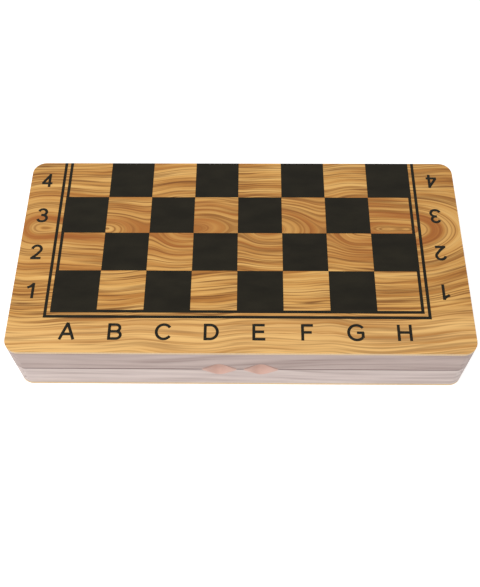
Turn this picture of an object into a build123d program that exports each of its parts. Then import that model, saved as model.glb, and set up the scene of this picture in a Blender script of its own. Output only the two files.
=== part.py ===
"""A folding wooden box for chess, draughts and backgammon, with the game pieces packed inside.

Two equal trays face each other. Each tray is four finger-jointed rails under a thin panel with a printed
foil on its outer and inner face. Two butt hinges join the back rails. The frame has its origin at the
centre of the base, +X along the long side, +Y to the hinges and +Z up. Lengths are in millimetres.
"""

import math
import os

from build123d import *

# The closed box
box_length = 396.0
box_depth = 200.0
tray_height = 32.0
corner_radius = 12.0
rail_thickness = 10.0
panel_thickness = 2.7
foil_thickness = 0.3
seam_gap = 0.5
foil_inset = 0.2

# The finger joints at the corners, counted up one rail
finger_count = 5

# The thumb scoops cut across the seam, seen from the front
scoop_width = 32.0
scoop_height = 20.0
scoop_sink = 6.0
scoop_spacing = 36.0

# The butt hinges
hinge_spacing = 240.0
hinge_length = 30.0
leaf_width = 8.0
leaf_thickness = 1.0
knuckle_radius = 2.0
pin_radius = 0.9
pin_clearance = 0.05
knuckle_gap = 0.3
hinge_seat_gap = 0.1
hinge_set_back = 0.25

# The wood screws through the hinge leaves
screw_spacing = 18.0
screw_head_radius = 1.9
screw_shank_radius = 0.9
screw_length = 9.0
screw_head_angle = 90.0
screw_clearance = 0.05
screw_sink = 0.1
screw_cross_width = 0.5
screw_cross_depth = 0.6

# The disc magnets let into the front rails
magnet_spacing = 150.0
magnet_radius = 3.0
magnet_thickness = 2.5
magnet_clearance = 0.05

# The chessmen: base diameter and height of each kind
pawn_base, pawn_height = 22.0, 38.0
rook_base, rook_height = 24.0, 42.0
knight_base, knight_height = 24.0, 46.0
bishop_base, bishop_height = 24.0, 54.0
queen_base, queen_height = 26.0, 64.0
king_base, king_height = 26.0, 72.0
knight_thickness = 10.0
crown_slots = 4
crown_slot_width = 3.0
crown_slot_depth = 4.0
mitre_slit_width = 1.2
mitre_slit_normal = (-0.64, 0.0, 0.77)

# The draughts and the dice
draught_diameter = 28.0
draught_thickness = 8.0
draught_rim = 3.0
draught_dish = 0.8
draught_bevel = 0.8
draught_layers = 4
draughts_each = 15
die_size = 12.0
die_edge = 1.5
dice_turns = (18.0, -31.0)

# How the men are packed in the lower tray
lying_gap = 0.15
row_gap = 2.0
pair_gap = 1.0
stack_gap = 0.15

# Places that follow from the sizes above
seam_z = tray_height
front_y = -box_depth / 2
back_y = box_depth / 2
half_length = box_length / 2
panel_z = foil_thickness + panel_thickness
rim_z = seam_z - seam_gap / 2
rail_height = rim_z - panel_z
inner_length = box_length - 2 * rail_thickness
inner_depth = box_depth - 2 * rail_thickness
floor_z = panel_z + foil_thickness
hinge_y = back_y + hinge_set_back
finger_height = rail_height / finger_count
side_of = {"left": -1, "right": 1}
stack_count = math.ceil(draughts_each / draught_layers)
stacks_length = stack_count * (draught_diameter + pair_gap) + pair_gap
third_row_half = inner_length / 2 - stacks_length


def outline(z, height):
    """A slab with the box's outline and rounded corners."""
    with BuildPart() as slab:
        with BuildSketch(Plane.XY.offset(z)):
            RectangleRounded(box_length, box_depth, corner_radius)
        extrude(amount=height)
    return slab.part


def flipped(piece):
    """The same piece in the other tray, turned over about the seam."""
    return mirror(piece, about=Plane.XY.offset(seam_z))


def corner_slots(first_finger):
    """The squares of the corners that one pair of rails gives up to the other, every second finger."""
    corner_x = half_length - rail_thickness / 2
    corner_y = box_depth / 2 - rail_thickness / 2
    with BuildPart() as slots:
        for finger in range(first_finger, finger_count, 2):
            with BuildSketch(Plane.XY.offset(panel_z + finger * finger_height)):
                with GridLocations(2 * corner_x, 2 * corner_y, 2, 2):
                    Rectangle(rail_thickness, rail_thickness)
            extrude(amount=finger_height)
    return slots.part


def scoop_cutter():
    """The pair of thumb scoops, each a shallow bowl that runs out to a point at both ends, like an eye."""
    chord_y = ((scoop_height / 2) ** 2 - scoop_sink**2) / (2 * scoop_sink)
    turning_axis = Axis((0, front_y - chord_y, seam_z), (1, 0, 0))
    with BuildPart() as scoops:
        for side in side_of.values():
            middle = side * scoop_spacing / 2
            with BuildSketch(Plane.XY.offset(seam_z)):
                with BuildLine():
                    left = (middle - scoop_width / 2, front_y)
                    right = (middle + scoop_width / 2, front_y)
                    deepest = (middle, front_y + scoop_sink)
                    level = (1, 0)
                    Spline(left, deepest, right, tangents=[level, level, level])
                    Polyline(right, (right[0], front_y - chord_y), (left[0], front_y - chord_y), left)
                make_face()
            revolve(axis=turning_axis)
    return scoops.part


def magnet_pockets():
    """The round pockets for the magnets, cut into the rim of a front rail."""
    radius = magnet_radius + magnet_clearance
    depth = magnet_thickness + magnet_clearance
    with BuildPart() as pockets:
        with BuildSketch(Plane.XY.offset(rim_z - depth)):
            with Locations((0, front_y + rail_thickness / 2)):
                with GridLocations(magnet_spacing, 1, 2, 1):
                    Circle(radius)
        extrude(amount=depth)
    return pockets.part


def hinge_gains():
    """What the back rail gives up to the hinges: leaf seats, knuckle hollows and screw holes."""
    seat_depth = leaf_thickness + hinge_seat_gap
    seat_width = leaf_width - hinge_set_back + hinge_seat_gap
    hollow_radius = knuckle_radius + knuckle_gap
    with BuildPart() as gains:
        with BuildSketch(Plane.XY.offset(rim_z - seat_depth)):
            with Locations((0, back_y - seat_width / 2)):
                with GridLocations(hinge_spacing, 1, 2, 1):
                    Rectangle(hinge_length + 2 * knuckle_gap, seat_width)
        extrude(amount=seat_depth)
        for side in side_of.values():
            start_x = side * hinge_spacing / 2 - hinge_length / 2 - knuckle_gap
            with BuildSketch(Plane.YZ.offset(start_x)):
                with Locations((hinge_y, seam_z)):
                    Circle(hollow_radius)
            extrude(amount=hinge_length + 2 * knuckle_gap)
        with BuildSketch(Plane.XY.offset(rim_z - screw_sink - screw_length - screw_clearance)):
            with Locations(*screw_places()):
                Circle(screw_shank_radius + screw_clearance)
        extrude(amount=screw_length)
    return gains.part


def screw_places():
    """The centres of the screws in one tray."""
    leaf_middle = hinge_y - knuckle_radius - (leaf_width - knuckle_radius) / 2
    return [
        (hinge * hinge_spacing / 2 + screw * screw_spacing / 2, leaf_middle)
        for hinge in side_of.values()
        for screw in side_of.values()
    ]


def long_rail(middle_y, cutters):
    """A front or back rail, with fingers at its ends and its outer corners rounded with the box."""
    with BuildPart() as rail:
        with BuildSketch(Plane.XY.offset(panel_z)):
            with Locations((0, middle_y)):
                Rectangle(box_length, rail_thickness)
        extrude(amount=rail_height)
        add(corner_slots(1), mode=Mode.SUBTRACT)
        add(outline(panel_z, rail_height), mode=Mode.INTERSECT)
        for cutter in cutters:
            add(cutter, mode=Mode.SUBTRACT)
    return rail.part


def end_rail(middle_x):
    """A left or right rail, whose fingers fill the slots of the long rails."""
    with BuildPart() as rail:
        with BuildSketch(Plane.XY.offset(panel_z)):
            with Locations((middle_x, 0)):
                Rectangle(rail_thickness, box_depth)
        extrude(amount=rail_height)
        add(corner_slots(0), mode=Mode.SUBTRACT)
        add(outline(panel_z, rail_height), mode=Mode.INTERSECT)
    return rail.part


def panel():
    """The thin board that closes the tray and carries the playing squares."""
    return outline(foil_thickness, panel_thickness)


def outer_foil():
    """The printed foil with half of the chessboard."""
    return outline(0, foil_thickness)


def inner_foil():
    """The printed foil with half of the backgammon board, between the rails."""
    with BuildPart() as foil:
        with BuildSketch(Plane.XY.offset(panel_z)):
            Rectangle(inner_length - 2 * foil_inset, inner_depth - 2 * foil_inset)
        extrude(amount=foil_thickness)
    return foil.part


def hinge_leaf(middle_x, knuckles):
    """A leaf of a butt hinge in the lower tray. Knuckles are the thirds of its length that it carries."""
    knuckle_length = hinge_length / 3
    start_x = middle_x - hinge_length / 2
    leaf_top = rim_z
    notch_edge = hinge_y - knuckle_radius - knuckle_gap
    leaf_back = hinge_y - leaf_width
    with BuildPart() as leaf:
        with BuildSketch(Plane.XY.offset(leaf_top - leaf_thickness)):
            with Locations((middle_x, (leaf_back + notch_edge) / 2)):
                Rectangle(hinge_length, notch_edge - leaf_back)
            for third in knuckles:
                tongue_x = start_x + (third + 0.5) * knuckle_length
                with Locations((tongue_x, (notch_edge + hinge_y) / 2)):
                    Rectangle(knuckle_length - knuckle_gap, hinge_y - notch_edge)
        extrude(amount=leaf_thickness)
        for third in knuckles:
            with BuildSketch(Plane.YZ.offset(start_x + third * knuckle_length + knuckle_gap / 2)):
                with Locations((hinge_y, seam_z)):
                    Circle(knuckle_radius)
            extrude(amount=knuckle_length - knuckle_gap)
        with BuildSketch(Plane.YZ.offset(start_x)):
            with Locations((hinge_y, seam_z)):
                Circle(pin_radius + pin_clearance)
        extrude(amount=hinge_length, mode=Mode.SUBTRACT)
        holes = [place for place in screw_places() if abs(place[0] - middle_x) < hinge_length / 2]
        with Locations(*[(x, y, leaf_top) for x, y in holes]):
            CounterSinkHole(
                screw_shank_radius + screw_clearance,
                screw_head_radius + screw_clearance,
                depth=2 * leaf_thickness,
                counter_sink_angle=screw_head_angle,
            )
    return leaf.part


def hinge_pin(middle_x):
    """The pin through the three knuckles."""
    with BuildPart() as pin:
        with BuildSketch(Plane.YZ.offset(middle_x - hinge_length / 2)):
            with Locations((hinge_y, seam_z)):
                Circle(pin_radius)
        extrude(amount=hinge_length)
    return pin.part


def hinge_screws():
    """The countersunk screws of one tray, with a cross in each head, just under the leaf's face."""
    head_depth = (screw_head_radius - screw_shank_radius) / math.tan(math.radians(screw_head_angle / 2))
    head_z = rim_z - screw_sink
    with BuildPart() as screw:
        with BuildSketch(Plane.XZ):
            with BuildLine():
                Polyline(
                    (0, 0),
                    (screw_head_radius - screw_sink, 0),
                    (screw_shank_radius, -head_depth + screw_sink),
                    (screw_shank_radius, -screw_length + screw_shank_radius),
                    (0, -screw_length),
                    close=True,
                )
            make_face()
        revolve(axis=Axis.Z)
        with BuildSketch(Plane.XY):
            Rectangle(2 * screw_shank_radius, screw_cross_width)
            Rectangle(screw_cross_width, 2 * screw_shank_radius)
        extrude(amount=-screw_cross_depth, mode=Mode.SUBTRACT)
    with BuildPart() as screws:
        with Locations(*[(x, y, head_z) for x, y in screw_places()]):
            add(screw.part)
    return screws.part


def magnets():
    """The disc magnets of one tray, flush with the rim."""
    with BuildPart() as discs:
        with BuildSketch(Plane.XY.offset(rim_z - magnet_thickness)):
            with Locations((0, front_y + rail_thickness / 2)):
                with GridLocations(magnet_spacing, 1, 2, 1):
                    Circle(magnet_radius)
        extrude(amount=magnet_thickness)
    return discs.part


def turned(points, dome=None):
    """A lathe-turned piece, from radius and height pairs. A dome is its widest point and its top."""
    with BuildPart() as man:
        with BuildSketch(Plane.XZ):
            with BuildLine():
                Polyline((0, 0), *points)
                if dome:
                    widest, top = dome
                    ThreePointArc(points[-1], widest, (0, top))
                    Line((0, top), (0, 0))
                else:
                    Polyline(points[-1], (0, points[-1][1]), (0, 0))
            make_face()
        revolve(axis=Axis.Z)
    return man.part


def ball_start(radius, middle, neck):
    """Where a ball of this radius, with its middle at this height, comes out of a neck."""
    return (neck, middle - math.sqrt(radius**2 - neck**2))


def foot(base_radius, waist_radius, waist_z):
    """The stepped foot that every man shares: a disc, a shoulder and a flare that rises to the waist."""
    return [
        (base_radius, 0),
        (base_radius, base_radius * 0.2),
        (base_radius * 0.72, base_radius * 0.4),
        (waist_radius, waist_z),
    ]


def collar(neck_radius, collar_radius, collar_z):
    """The ring under the head, from the neck out to its edge and in again."""
    return [
        (neck_radius, collar_z - neck_radius * 0.35),
        (collar_radius, collar_z),
        (neck_radius * 1.1, collar_z + neck_radius * 0.35),
    ]


def pawn():
    """A pawn: a collar under a round head."""
    head, neck = pawn_base * 0.3, pawn_base * 0.22
    middle = pawn_height - head
    points = foot(pawn_base / 2, pawn_base * 0.26, pawn_height * 0.34)
    points += collar(neck, head * 1.18, middle - head)
    points.append(ball_start(head, middle, neck))
    return turned(points, dome=((head, middle), pawn_height))


def rook():
    """A rook: a broad tower whose crown has four slots."""
    tower, waist = rook_base * 0.34, rook_base * 0.27
    points = foot(rook_base / 2, waist, rook_height * 0.34)
    points += [(rook_base * 0.25, rook_height * 0.66), (tower, rook_height * 0.72), (tower, rook_height)]
    with BuildPart() as man:
        add(turned(points))
        with BuildSketch(Plane.XY.offset(rook_height)):
            Circle(tower * 0.66)
            with PolarLocations(0, crown_slots // 2, angular_range=180):
                Rectangle(2 * rook_base, crown_slot_width)
        extrude(amount=-crown_slot_depth, mode=Mode.SUBTRACT)
    return man.part


def knight():
    """A knight: a horse's head, sawn from a board and set on the turned foot."""
    base, height = knight_base / 2, knight_height
    foot_top = height * 0.26
    with BuildPart() as man:
        add(turned([(base, 0), (base, base * 0.2), (base * 0.72, base * 0.4), (base * 0.66, foot_top)]))
        with BuildSketch(Plane.XZ.offset(-knight_thickness / 2)):
            with BuildLine():
                chest, nape = (base * 0.6, foot_top - 1), (-base * 0.6, foot_top - 1)
                throat, jaw = (base * 0.25, height * 0.6), (base * 0.5, height * 0.61)
                chin, lip = (base * 0.85, height * 0.58), (base * 0.98, height * 0.63)
                nose, brow = (base * 0.94, height * 0.7), (base * 0.5, height * 0.88)
                ear, poll = (base * 0.33, height), (base * 0.1, height * 0.92)
                ThreePointArc(chest, (base * 0.68, height * 0.41), throat)
                Polyline(throat, jaw, chin, lip, nose, brow, ear, poll)
                ThreePointArc(poll, (-base * 0.72, height * 0.6), nape)
                Line(nape, chest)
            make_face()
        extrude(amount=knight_thickness)
    return man.part


def bishop():
    """A bishop: a mitre with a slanting cut and a button on top, over a collar."""
    head, button = bishop_base * 0.28, bishop_base * 0.08
    widest_z, mitre_top = bishop_height * 0.77, bishop_height - 2 * button
    points = foot(bishop_base / 2, bishop_base * 0.23, bishop_height * 0.3)
    points += collar(bishop_base * 0.19, head * 1.16, bishop_height * 0.64)
    points += [(head, widest_z), (head * 0.82, widest_z + head * 0.5), (button * 0.6, mitre_top)]
    points.append(ball_start(button, bishop_height - button, button * 0.6))
    with BuildPart() as man:
        add(turned(points, dome=((button, bishop_height - button), bishop_height)))
        slit_plane = Plane((head * 0.3, 0, widest_z + head * 0.4), x_dir=(0, 1, 0), z_dir=mitre_slit_normal)
        with BuildSketch(slit_plane):
            with Locations((0, -head)):
                Rectangle(4 * head, 2 * head)
        extrude(amount=mitre_slit_width, mode=Mode.SUBTRACT)
    return man.part


def queen():
    """A queen: a flared coronet and a small ball."""
    crown, ball = queen_base * 0.3, queen_base * 0.1
    rim_height, ball_middle = queen_height * 0.9, queen_height - ball
    points = foot(queen_base / 2, queen_base * 0.24, queen_height * 0.28)
    points += collar(queen_base * 0.19, crown * 1.1, queen_height * 0.68)
    points += [(crown, rim_height), (crown * 0.8, rim_height + ball * 0.3)]
    points.append((ball * 0.7, ball_middle - ball * 0.9))
    points.append(ball_start(ball, ball_middle, ball * 0.7))
    return turned(points, dome=((ball, ball_middle), queen_height))


def king():
    """A king: a domed crown under a plain cross."""
    crown, crown_z = king_base * 0.3, king_height * 0.88
    points = foot(king_base / 2, king_base * 0.24, king_height * 0.27)
    points += collar(king_base * 0.19, crown * 1.12, king_height * 0.65)
    points += [(crown, crown_z - crown * 0.35), (crown * 0.85, crown_z - crown * 0.2), (crown * 0.3, crown_z)]
    arm, stem = king_base * 0.12, king_height - crown_z
    with BuildPart() as man:
        add(turned(points))
        with BuildSketch(Plane.XZ.offset(-arm / 2)):
            with Locations((0, crown_z + stem / 2 - arm / 4)):
                Rectangle(arm, stem + arm / 2)
            with Locations((0, crown_z + stem * 0.6)):
                Rectangle(2.6 * arm, arm)
        extrude(amount=arm)
    return man.part


def draught():
    """A draught: a turned disc with bevelled edges and a face that is dished inside its rim."""
    radius, dish_radius = draught_diameter / 2, draught_diameter / 2 - draught_rim
    return turned([
        (radius - draught_bevel, 0),
        (radius, draught_bevel),
        (radius, draught_thickness - draught_bevel),
        (radius - draught_bevel, draught_thickness),
        (dish_radius, draught_thickness),
        (dish_radius - draught_dish, draught_thickness - draught_dish),
    ])


def die():
    """A die with its edges eased."""
    with BuildPart() as cube:
        Box(die_size, die_size, die_size, align=(Align.CENTER, Align.CENTER, Align.MIN))
        chamfer(cube.edges(), die_edge / 2)
    return cube.part


def laid_down(man, lean, heading):
    """A man on his side with his head turned to heading, leaning until foot and head both touch the floor."""
    turn = Rotation(0, 90 + lean, 0)
    lying = Rot(Z=heading) * (turn * man)
    lowest = lying.bounding_box().min.Z
    return Pos(0, 0, floor_z + lying_gap - lowest) * lying


def lean_angle(base, head_diameter, reach):
    """How far a lying man dips his head: its foot is wider than its head, reach millimetres away."""
    return math.degrees(math.atan((base - head_diameter) / 2 / reach))


def write_piece(piece, name):
    """Labels a finished piece and writes it under its own name."""
    piece.label = name
    export_step(piece, f"parts/{name}.step")


def group(copies, name):
    """Writes several separate copies as one named group."""
    with BuildPart() as together:
        for copy in copies:
            add(copy)
    write_piece(together.part, name)


def row_places(widths, left_x, right_x):
    """The middle of each thing in a row that is spread evenly from left to right."""
    gap = (right_x - left_x - sum(widths)) / (len(widths) + 1)
    places, edge = [], left_x + gap
    for width in widths:
        places.append(edge + width / 2)
        edge += width + gap
    return places


def write_tray():
    """Writes the rails, panels and foils of both trays."""
    rail_middle = box_depth / 2 - rail_thickness / 2
    end_middle = half_length - rail_thickness / 2
    pieces = {
        "front_rail": long_rail(-rail_middle, [scoop_cutter(), magnet_pockets()]),
        "back_rail": long_rail(rail_middle, [hinge_gains()]),
        "left_rail": end_rail(-end_middle),
        "right_rail": end_rail(end_middle),
        "panel": panel(),
        "outer_print": outer_foil(),
        "inner_print": inner_foil(),
        "hinge_screws": hinge_screws(),
        "magnets": magnets(),
    }
    for name, piece in pieces.items():
        write_piece(piece, f"lower_{name}")
        write_piece(flipped(piece), f"upper_{name}")


def write_hinges():
    """Writes the leaves and pins of both hinges."""
    for name, side in side_of.items():
        middle_x = side * hinge_spacing / 2
        write_piece(hinge_leaf(middle_x, [0, 2]), f"lower_hinge_leaf_{name}")
        write_piece(flipped(hinge_leaf(middle_x, [1])), f"upper_hinge_leaf_{name}")
        write_piece(hinge_pin(middle_x), f"hinge_pin_{name}")


def write_men():
    """Packs the chessmen in rows, light at the left, with the last pawns of each colour in front."""
    kinds = {
        "king": (king(), king_base, king_base * 0.67, king_height * 0.65),
        "queen": (queen(), queen_base, queen_base * 0.66, queen_height * 0.68),
        "bishop": (bishop(), bishop_base, bishop_base * 0.65, bishop_height * 0.64),
        "knight": (Rot(Z=90) * knight(), knight_base, knight_thickness, knight_height),
        "rook": (rook(), rook_base, rook_base * 0.68, rook_height),
        "pawn": (pawn(), pawn_base, pawn_base * 0.71, pawn_height * 0.58),
    }
    first = ["king", "queen", "bishop", "bishop", "knight", "knight", "rook"]
    second = ["rook"] + ["pawn"] * 6
    first_y = inner_depth / 2 - row_gap
    second_y = first_y - king_height - row_gap
    third_y = second_y - rook_height - row_gap
    laid = {}
    for foot_y, row in ((first_y, first), (second_y, second), (third_y, ["pawn"] * 2)):
        men = [("light", kind) for kind in row] + [("dark", kind) for kind in reversed(row)]
        widths = [kinds[kind][1] for _, kind in men]
        reach_x = inner_length / 2 if len(row) > 2 else third_row_half
        for (colour, kind), x in zip(men, row_places(widths, -reach_x, reach_x)):
            man, base, head, reach = kinds[kind]
            lying = laid_down(man, lean_angle(base, head, reach), -90)
            shift = foot_y - lying.bounding_box().max.Y
            laid.setdefault(f"{colour}_{kind}", []).append(Pos(x, shift, 0) * lying)
    for name, copies in laid.items():
        group(copies, name if len(copies) == 1 else f"{name}s")


def write_draughts():
    """Stacks the draughts flat along the front, light at the left and dark at the right."""
    spacing = draught_diameter + pair_gap
    first_x = inner_length / 2 - pair_gap - draught_diameter / 2
    stack_y = -inner_depth / 2 + pair_gap + draught_diameter / 2
    level = draught_thickness + stack_gap
    for colour, side in (("light", -1), ("dark", 1)):
        places = [(count // draught_layers, count % draught_layers) for count in range(draughts_each)]
        copies = [
            Pos(side * (first_x - stack * spacing), stack_y, floor_z + lying_gap + layer * level) * draught()
            for stack, layer in places
        ]
        group(copies, f"{colour}_draughts")


def write_dice():
    """Lays the two dice side by side in the hollow that the rooks leave in the middle of the first row."""
    hollow_y = inner_depth / 2 - row_gap - (rook_height + king_height + row_gap) / 2
    copies = [
        Pos(side * die_size, hollow_y, floor_z + lying_gap) * Rot(Z=turn) * die()
        for side, turn in zip(side_of.values(), dice_turns)
    ]
    group(copies, "dice")


os.makedirs("parts", exist_ok=True)
write_tray()
write_hinges()
write_men()
write_draughts()
write_dice()
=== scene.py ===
# %% [markdown]
# # A folding box for chess, draughts and backgammon
# The box is two shallow wooden trays, hinged along the back and closed face to face. The outside is printed
# as a chessboard and the inside as a backgammon board, and the pieces are packed in the lower tray.
# The solids come from the CAD model, which is loaded here as a fixed frame. Blender adds what the eye
# sees: the printed squares and letters, the turned pieces, and every finish. All lengths are in metres.

# %% Load the frame
from math import acos, atan, cos, degrees, pi, radians, sin, sqrt

import bmesh
import bpy
from mathutils import Matrix, Vector


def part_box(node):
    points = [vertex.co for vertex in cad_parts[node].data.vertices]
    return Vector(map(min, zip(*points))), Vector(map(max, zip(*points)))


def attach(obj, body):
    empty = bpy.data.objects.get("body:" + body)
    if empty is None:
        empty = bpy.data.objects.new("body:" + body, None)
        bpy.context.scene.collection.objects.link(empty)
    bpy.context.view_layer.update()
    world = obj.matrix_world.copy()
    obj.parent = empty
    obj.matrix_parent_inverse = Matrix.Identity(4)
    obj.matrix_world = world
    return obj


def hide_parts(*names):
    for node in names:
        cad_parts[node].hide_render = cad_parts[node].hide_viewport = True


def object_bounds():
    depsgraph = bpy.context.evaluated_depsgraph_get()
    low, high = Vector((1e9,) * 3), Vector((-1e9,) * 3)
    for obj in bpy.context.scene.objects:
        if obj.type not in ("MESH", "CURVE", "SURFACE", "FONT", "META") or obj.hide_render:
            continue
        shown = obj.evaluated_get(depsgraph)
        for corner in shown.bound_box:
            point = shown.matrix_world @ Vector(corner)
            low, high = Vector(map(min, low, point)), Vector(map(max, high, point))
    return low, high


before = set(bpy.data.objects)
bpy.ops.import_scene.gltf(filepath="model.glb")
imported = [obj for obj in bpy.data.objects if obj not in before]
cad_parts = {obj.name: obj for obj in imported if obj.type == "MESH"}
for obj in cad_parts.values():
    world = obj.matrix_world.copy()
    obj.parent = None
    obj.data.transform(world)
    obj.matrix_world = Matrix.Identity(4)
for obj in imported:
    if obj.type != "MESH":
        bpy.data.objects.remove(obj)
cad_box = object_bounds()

mm = 0.001
scene = bpy.context.scene
lowest, highest = cad_box
print("the closed box measures", [round(v / mm, 1) for v in highest - lowest], "mm")

# %% [markdown]
# ## The camera
# The picture looks down on the box from the front, about sixty degrees above the table, through a normal
# lens. The chessboard is a ready-made ruler: its squares gave the camera's place and turn.


# %% Set up the camera
def in_scene(name, data):
    """A new object with this data, linked to the scene."""
    thing = bpy.data.objects.new(name, data)
    scene.collection.objects.link(thing)
    return thing


camera_place = (0.0079, -0.3908, 0.6683)
camera_turn = (29.93, 0.48, 0.54)
camera_lens = 49.47

camera = in_scene("camera", bpy.data.cameras.new("camera"))
camera.data.lens = camera_lens
camera.location = camera_place
camera.rotation_euler = [radians(angle) for angle in camera_turn]
scene.camera = camera
print("the camera is", round(Vector(camera_place).length, 3), "m from the middle of the base")

# %% [markdown]
# ## Nodes in code
# Every finish below is a small network of nodes. What a node gives out is wrapped as a signal here, so a
# sum on signals is written as a plain sum, and each sign in it becomes one maths node.


# %% Signals and nodes
class Signal:
    """What a node gives out. A sum on signals makes the maths nodes that work it out."""

    def __init__(self, socket):
        self.socket, self.tree = socket, socket.id_data

    def maths(self, operation, other=0.0):
        """One named sum on this number and another."""
        return add_node(self.tree, "ShaderNodeMath", {0: self, 1: other}, operation=operation)

    def __add__(self, other):
        return self.maths("ADD", other)

    def __sub__(self, other):
        return self.maths("SUBTRACT", other)

    def __rsub__(self, other):
        return self * -1.0 + other

    def __mul__(self, other):
        return self.maths("MULTIPLY", other)

    def __mod__(self, other):
        return self.maths("MODULO", other)

    def __abs__(self):
        return self.maths("ABSOLUTE")


def feed(socket, value):
    """Links a signal to an input, or sets the input to a constant."""
    if isinstance(value, Signal):
        value.tree.links.new(value.socket, socket)
    else:
        socket.default_value = value


def add_node(tree, kind, inputs=None, output=0, **settings):
    """Makes a node with its settings and inputs, and gives the signal of one output."""
    made = tree.nodes.new(kind)
    for name, value in settings.items():
        setattr(made, name, value)
    for name, value in (inputs or {}).items():
        feed(made.inputs[name], value)
    return Signal(made.outputs[output]) if made.outputs else None


def separated(vector):
    """The three numbers of a vector."""
    return [add_node(vector.tree, "ShaderNodeSeparateXYZ", {0: vector}, axis) for axis in range(3)]


def combined(*parts):
    """A vector of up to three numbers."""
    tree = next(part.tree for part in parts if isinstance(part, Signal))
    return add_node(tree, "ShaderNodeCombineXYZ", dict(enumerate(parts)))


# %% Helpers for colours and patterns
def linear(red, green, blue):
    """A colour given as it looks on a screen, from 0 to 255, in the linear light that shaders use."""
    shares = [value / 255 for value in (red, green, blue)]
    return (*[v / 12.92 if v <= 0.04045 else ((v + 0.055) / 1.055) ** 2.4 for v in shares], 1.0)


def noise(place, stretch, detail):
    """Smooth random clouds, from 0 to 1. A larger stretch makes them smaller along that axis."""
    vector = add_node(place.tree, "ShaderNodeVectorMath", {0: place, 1: stretch}, operation="MULTIPLY")
    return add_node(place.tree, "ShaderNodeTexNoise", {"Vector": vector, "Scale": 1.0, "Detail": detail})


def graded(factor, stops):
    """A colour ramp: stops are pairs of a place from 0 to 1 and a colour."""
    ramp = add_node(factor.tree, "ShaderNodeValToRGB", {0: factor})
    elements = ramp.socket.node.color_ramp.elements
    while len(elements) < len(stops):
        elements.new(0.5)
    for element, (place, colour) in zip(elements, stops):
        element.position, element.color = place, colour
    return ramp


def between(value, low, high, new_low=0.0, new_high=1.0):
    """A number moved from one range to another, and held inside it."""
    inputs = {0: value, 1: low, 2: high, 3: new_low, 4: new_high}
    return add_node(value.tree, "ShaderNodeMapRange", inputs)


def blended(factor, first, second):
    """Two colours mixed by a factor."""
    return add_node(factor.tree, "ShaderNodeMix", {0: factor, 6: first, 7: second}, 2, data_type="RGBA")


def start_material(name):
    """A new material with its main shader, and the object's own coordinates."""
    material = bpy.data.materials.new(name)
    material.use_nodes = True
    place = add_node(material.node_tree, "ShaderNodeTexCoord", output="Object")
    return material, material.node_tree.nodes["Principled BSDF"], place


def finish_shader(shader, colour, roughness, bump=None, bump_height=0.0, **constants):
    """Feeds the colour and roughness, sets the constant sockets, and adds the bump."""
    inputs = {"Base Color": colour, "Roughness": roughness}
    for name, value in constants.items():
        inputs[name.replace("_", " ")] = value
    if bump is not None:
        inputs["Normal"] = add_node(bump.tree, "ShaderNodeBump", {"Height": bump, "Distance": bump_height})
    for name, value in inputs.items():
        feed(shader.inputs[name], value)


# %% [markdown]
# ## The printed wood grain
# The board is covered with a foil that is printed like a flat-sawn teak plank: straight streaks near the
# long edges and, along the middle, flames and eyes where the saw ran close to the heart of the log. Its
# rings are cylinders, so what the cut shows at a point is its distance from the heart. Where the heart
# comes near the surface the contours close into an eye, and where it sinks they point like flames. The
# streaks are noises stretched along those contours.

# %% The saw cut
heart_slope = 0.02
ring_wander = 30 * mm


def ring_distance(place, heart, dips):
    """Each point's X, and its distance to the heart of the log. Heart is a line across the board and its
    depth, and dips are where it rises."""
    line, depth = heart
    x, y, _ = separated(place)
    sunk = x * heart_slope + depth
    for middle, reach, rise, steep in dips:
        beyond = x - middle
        share = (beyond * (1 / reach)).maths("MAXIMUM", beyond * (-steep / reach))
        sunk = sunk - (share * share * -1.0).maths("EXPONENT") * rise
    aside = y - line
    wander = (noise(place, (7, 9, 0), 1.5) - 0.5) * ring_wander
    return x, (aside * aside + sunk * sunk).maths("SQRT") + wander


def along_grain(x, across, length, width, detail, shift=0.0):
    """A noise whose clouds are as long and as wide as given, laid along the contours."""
    return noise(combined(x, across, shift), (1 / length, 1 / width, 1), detail)


# %% [markdown]
# The foil's picture is built up in layers: broad bands, thin dark lines, growth rings with one crisp side
# each, and a rusty tint near the heart. Towards the plank's long edges it is lighter and fainter.

# %% Teak on a foil
edge_band = (84 * mm, 104 * mm)
heart_band = (48 * mm, 12 * mm)
growth_ring = 7.5 * mm
edge_tone, rust_tone = linear(238, 192, 124), linear(160, 88, 38)


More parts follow.
